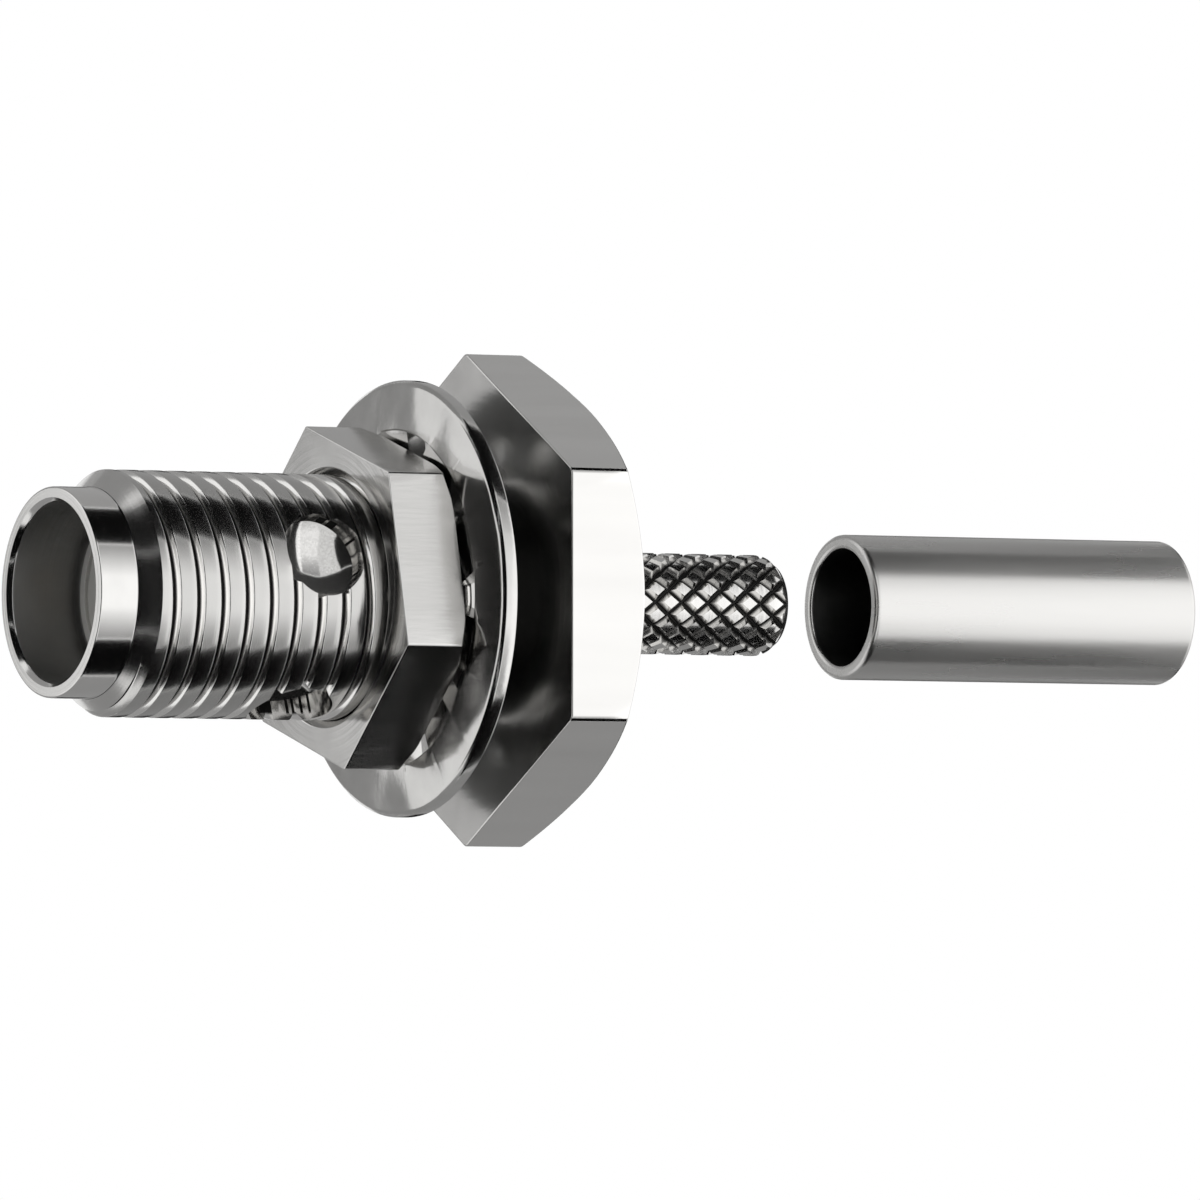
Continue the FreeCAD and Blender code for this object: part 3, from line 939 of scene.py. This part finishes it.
def make_contact(gold):
    """Turned socket contact with four slots, its mouth eased for the pin."""
    groove_front_x = lock_hole_x - lock_core_radius
    groove_back_x = lock_hole_x + lock_core_radius
    rear_x = bead_end_x - contact_set_back
    contact = turned("slotted_contact", [
        (socket_floor_x, 0, 0), (socket_floor_x, contact_radius, eased_edge),
        (groove_front_x, contact_radius, crisp_edge), (groove_front_x, contact_groove_radius, crisp_edge),
        (groove_back_x, contact_groove_radius, crisp_edge), (groove_back_x, contact_radius, crisp_edge),
        (rear_x, contact_rear_radius, deburred_edge), (rear_x, 0, 0),
    ])
    socket_end = socket_floor_x + contact_socket_depth
    mouth_radius = contact_bore_radius + contact_mouth_edge
    bore = turned("contact_bore", [
        (socket_floor_x - overrun, 0, 0), (socket_floor_x - overrun, mouth_radius, 0),
        (socket_floor_x, mouth_radius, 0),
        (socket_floor_x + contact_mouth_edge, contact_bore_radius, broken_edge),
        (socket_end, contact_bore_radius, 0), (socket_end + contact_bore_point, 0, 0),
    ])
    cup_end = rear_x - conductor_cup_depth
    cup = turned("conductor_cup", [
        (rear_x + overrun, 0, 0), (rear_x + overrun, conductor_cup_radius, 0),
        (cup_end, conductor_cup_radius, 0), (cup_end - conductor_cup_point, 0, 0),
    ])
    combine(contact, [bore, cup] + [contact_slot(number) for number in range(2)], "DIFFERENCE")
    in_material(contact, gold)
    finish_piece(contact, "connector", ["centre_contact"])


def contact_slot(number):
    """Thin plate that cuts one pair of slots across the contact's mouth."""
    work = bmesh.new()
    bmesh.ops.create_cube(work, size=1)
    bmesh.ops.scale(work, verts=work.verts,
                    vec=(contact_slot_depth + overrun, contact_slot_width, 4 * contact_radius))
    bmesh.ops.translate(work, verts=work.verts, vec=((contact_slot_depth - overrun) / 2, 0, 0))
    turn = Matrix.Rotation(math.radians(45 + 90 * number), 3, "X")
    bmesh.ops.rotate(work, verts=work.verts, cent=(0, 0, 0), matrix=turn)
    bmesh.ops.translate(work, verts=work.verts, vec=(socket_floor_x, 0, 0))
    return object_of_work("slot", work)


def make_epoxy(epoxy):
    """Cured epoxy in the four lock holes, drawn down in the middle as it shrank."""
    rings = 10
    segments = lock_hole_segments
    outer = lock_hole_radius - fit_gap
    floor = math.sqrt(epoxy_meniscus_radius ** 2 - outer ** 2)
    centre_height = epoxy_rim_height + floor
    foot = bead_bore_radius - epoxy_foot_depth
    vertices = []
    faces = []
    for plug in range(lock_hole_count):
        turn = lock_hole_rotation(plug)
        first = len(vertices)
        outline = []
        for ring in range(rings + 1):
            radius = outer * ring / rings
            outline.append((radius, centre_height - math.sqrt(epoxy_meniscus_radius ** 2 - radius ** 2)))
        outline.append((outer, foot))
        outline.append((0.0, foot))
        for segment in range(segments):
            angle = 2 * math.pi * segment / segments
            for radius, height in outline:
                place = turn @ Vector((radius * math.cos(angle), radius * math.sin(angle), height))
                vertices.append((place.x + lock_hole_x, place.y, place.z))
        along = len(outline)
        for segment in range(segments):
            beside = (segment + 1) % segments
            for step in range(along - 1):
                faces.append((first + segment * along + step, first + beside * along + step,
                              first + beside * along + step + 1, first + segment * along + step + 1))
    plugs = object_from("epoxy_plugs", vertices, faces)
    in_material(plugs, epoxy)
    finish_piece(plugs, "connector", ["epoxy_lock"], sharp_degrees=60)


# Studio: white ground, pale floor, and black and grey cards that only the metal reflects

card_distance = 150.0
fade_from_degrees = 16
fade_to_share = 0.3
white = "#FFFFFF"
black = "#0A0A0A"


def soft_edges(tree, strength, to_degrees):
    """Strength of a card that fades upwards and downwards from its middle to its edges."""
    height = add(tree, "ShaderNodeSeparateXYZ", {0: place_in_mm(tree)}).outputs[2]
    off_middle = add(tree, "ShaderNodeMath", {0: height}, operation="ABSOLUTE")
    start = card_distance * math.sin(math.radians(fade_from_degrees))
    end = card_distance * math.sin(math.radians(to_degrees))
    return add(tree, "ShaderNodeMapRange",
               {0: off_middle, 1: start, 2: end, 3: strength, 4: strength * fade_to_share})


def card(name, from_degrees, to_degrees, from_x, to_x, code, strength=1.0, fades=False):
    """Curved card round the connector's axis, seen only in reflections. Angles go up from -Y, and
    stations along the axis are in millimetres."""
    steps = 24
    vertices = []
    faces = []
    for step in range(steps + 1):
        angle = math.radians(from_degrees + (to_degrees - from_degrees) * step / steps)
        y = -card_distance * math.cos(angle)
        z = card_distance * math.sin(angle)
        for x in (from_x, to_x):
            vertices.append((x * MM, y * MM, z * MM))
    for step in range(steps):
        faces.append((2 * step, 2 * step + 1, 2 * step + 3, 2 * step + 2))
    mesh = bpy.data.meshes.new(name)
    mesh.from_pydata(vertices, [], faces)
    made = shown(name, mesh)
    material, tree = new_material(name)
    level = soft_edges(tree, strength, to_degrees) if fades else strength
    glow = add(tree, "ShaderNodeEmission", {"Color": srgb(code), "Strength": level})
    add(tree, "ShaderNodeOutputMaterial", {0: glow})
    mesh.materials.append(material)
    made.visible_camera = False
    made.visible_diffuse = False
    made.visible_shadow = False
    made.visible_transmission = False


def make_cards():
    """Soft boxes, grey cards and black flags that give the metal its bands of light and dark."""
    card("soft_box", -50, 50, 12, 97, white, 1.3, fades=True)
    card("ferrule_box", -50, 50, 97, 400, white, 1.5)
    card("upper_flag", 52, 100, -150, 125, black)
    card("lower_flag", -100, -52, -150, 125, black)
    card("upper_left_flag", 52, 128, -420, -150, black)
    card("lower_left_flag", -128, -52, -420, -150, black)
    card("upper_grey_back", 102, 160, 0, 118, "#A8A8A8")
    card("upper_back_flag", 102, 146, 118, 400, "#242424")
    card("edge_flag", 160, 200, 60, 118, black)
    card("back_box", 160, 200, 118, 400, white, 1.2)
    card("lower_grey_back", 200, 258, 0, 118, "#989898")
    card("lower_back_flag", 214, 258, 118, 400, "#242424")
    card("grey_left", 102, 258, -90, -2, "#9C9C9C")
    card("white_left", 102, 258, -140, -90, white)
    card("camera_flag", -50, 50, -700, -75, "#101010")
    card("camera_box", -50, 50, -75, 12, white)


def make_ground():
    """White all round to the camera and to the metal, and somewhat less as light on the object."""
    world = bpy.data.worlds.new("studio")
    bpy.context.scene.world = world
    world.use_nodes = True
    tree = world.node_tree
    tree.nodes.clear()
    path = add(tree, "ShaderNodeLightPath")
    seen = path.outputs["Is Camera Ray"]
    for ray in ("Is Glossy Ray", "Is Transmission Ray"):
        seen = add(tree, "ShaderNodeMath", {0: seen, 1: path.outputs[ray]}, operation="MAXIMUM")
    strength = add(tree, "ShaderNodeMapRange", {0: seen, 3: 0.6, 4: 1.0})
    ground = add(tree, "ShaderNodeBackground", {"Color": srgb(white), "Strength": strength})
    add(tree, "ShaderNodeOutputWorld", {0: ground})


def make_lamp():
    """Square area lamp that points at the connector and does not show in the metal."""
    lamp = bpy.data.lights.new("key", "AREA")
    lamp.shape = "SQUARE"
    lamp.size = 0.25
    lamp.energy = 2.2
    holder = shown("key", lamp)
    holder.location = (0.12, -0.25, 0.32)
    aim = Vector((4.0, 0, 0)) * MM - holder.location
    holder.rotation_euler = aim.to_track_quat("-Z", "Y").to_euler()
    holder.visible_glossy = False


def make_floor():
    """Pale floor below the connector, white to the camera apart from the connector's soft shadow."""
    half = 1.5
    height = -24 * MM
    glow_strength = 0.72
    mesh = bpy.data.meshes.new("floor")
    mesh.from_pydata([(-half, -half, height), (half, -half, height), (half, half, height),
                      (-half, half, height)], [], [(0, 1, 2, 3)])
    floor = shown("floor", mesh)
    material, tree = new_material("pale_floor")
    path = add(tree, "ShaderNodeLightPath")
    strength = add(tree, "ShaderNodeMath", {0: path.outputs["Is Camera Ray"], 1: glow_strength},
                   operation="MULTIPLY")
    glow = add(tree, "ShaderNodeEmission", {"Color": srgb(white), "Strength": strength})
    paper = add(tree, "ShaderNodeBsdfDiffuse", {"Color": srgb("#8A8A8A")})
    both = add(tree, "ShaderNodeAddShader", {0: glow, 1: paper})
    add(tree, "ShaderNodeOutputMaterial", {0: both})
    mesh.materials.append(material)
    floor.visible_glossy = False


def make_camera():
    """Long lens, 30 degrees in front of the side and a little below the axis."""
    frame_width = 1200
    focal_pixels = 17000
    aim = Vector((4.03, 0, 0.07)) * MM
    distance = 442.4 * MM
    azimuth = math.radians(30)
    climb = math.radians(1.9)
    forward = Vector((math.sin(azimuth) * math.cos(climb), math.cos(azimuth) * math.cos(climb),
                      math.sin(climb)))
    lens = bpy.data.cameras.new("camera")
    lens.sensor_width = 36
    lens.lens = lens.sensor_width * focal_pixels / frame_width
    camera = shown("camera", lens)
    camera.location = aim - forward * distance
    camera.rotation_euler = forward.to_track_quat("-Z", "Y").to_euler()
    bpy.context.scene.camera = camera


make_camera()
bpy.context.scene.view_settings.view_transform = "Standard"
make_cards()
make_ground()
make_lamp()
make_floor()

# Bright nickel over turned brass: a mirror whose faint rings pull each highlight into a band
turned_nickel = plated("bright_nickel_on_turned_brass", "#E5E4E2", "#D3D2D0", 0.13, 7.0, 0.0012, "turned")
# The thread's crests, rubbed by nuts: the same nickel, a little softer, and greyer as painted shade
crest_nickel_with_painted_shade = plated("worn_nickel_with_painted_shade_on_thread_crests", "#CBCAC8", "#B7B6B4", 0.18, 7.0, 0.002, "turned")
# The thread's flanks: nickel brightened as painted highlight, with painted shade at the roots: a light line
# beside a dark one
flank_nickel_with_painted_highlight = plated("nickel_with_painted_highlight_on_thread_flanks", "#F2F1EF", "#E6E5E3", 0.14, 7.0, 0.001, "turned",
                      painted_shade_radii=(thread_root_radius, thread_root_radius + thread_painted_shade_depth))
# Faces cut square by the lathe: fine rings about the centre that make the sheen fan out
faced_nickel = plated("bright_nickel_on_faced_brass", "#DCDBD9", "#C8C7C5", 0.2, 5.0, 0.002, "turned")
# The hexagon's flats, left as the bar was drawn: smooth, so that a whole flat flashes white or black
drawn_nickel = plated("bright_nickel_on_drawn_bar", "#E8E7E5", "#D8D7D5", 0.12, 9.0, 0.0008, "drawn")
# The nut's flats, drawn and then satin plated: one even light grey with faint streaks along the axis
satin_nickel = plated("satin_nickel_on_drawn_bar", "#DCDBD9", "#CAC9C7", 0.22, 9.0, 0.003, "drawn")
# The rolled knurl: bright tops of diamonds, and painted shade in the grooves
knurl_nickel_with_painted_shade = plated("nickel_with_painted_shade_on_rolled_knurl", "#E2E1DF", "#CFCECC", 0.15, 6.0, 0.002, "turned",
                      painted_shade_radii=(knurl_root_radius, knurl_root_radius + knurl_painted_shade_depth))
# Drawn copper tube, tumbled before plating: wide soft bands of light with no sharp reflection
tube_nickel = plated("tumbled_nickel_on_drawn_tube", "#DCDBD9", "#C8C7C5", 0.28, 4.0, 0.002, "drawn")
# Stamped bronze sheet, never quite flat: bright plate whose reflections break into patches
stamped_nickel = plated("bright_nickel_on_stamped_bronze", "#DAD9D7", "#BDBCBA", 0.14, 3.0, 0.003,
                        "stamped", waves=0.12)
# Down a bore the plate is thin and unpolished, and its grey is darkened further as painted shade: an even
# dark grey
bore_nickel_with_painted_shade = plated("thin_nickel_with_painted_shade_in_bores", "#B2B2B1", "#999998", 0.5, 8.0, 0.003, "turned")
# Painted shade on the washer's back and the inside of the tube: a dark, matt nickel
painted_shade_nickel = plated("painted_shade_nickel_on_hidden_faces", "#6A6A69", "#4C4C4B", 0.42, 8.0, 0.003, "turned")
# Gold over turned copper alloy: warm yellow with fine rings, bright even deep in the mouth
gold_plate = plated("gold_plate_on_turned_copper_alloy", "#E8BC62", "#D8A84C", 0.16, 9.0, 0.001, "turned")
# Turned fluoropolymer: waxy, its white greyed a little as painted shade of the bore round it
fluoropolymer = machined_fluoropolymer("machined_white_fluoropolymer")
# Cured silver epoxy: wet-looking and nearly as bright as the nickel, so the plugs read as drops
epoxy = silver_filled_epoxy("silver_filled_epoxy")

make_body(turned_nickel, crest_nickel_with_painted_shade, flank_nickel_with_painted_highlight, faced_nickel, drawn_nickel, knurl_nickel_with_painted_shade,
          bore_nickel_with_painted_shade)
make_insulator(fluoropolymer)
make_contact(gold_plate)
make_epoxy(epoxy)
make_nut(turned_nickel, satin_nickel)
make_washer(stamped_nickel, painted_shade_nickel)
make_ferrule(tube_nickel, painted_shade_nickel)
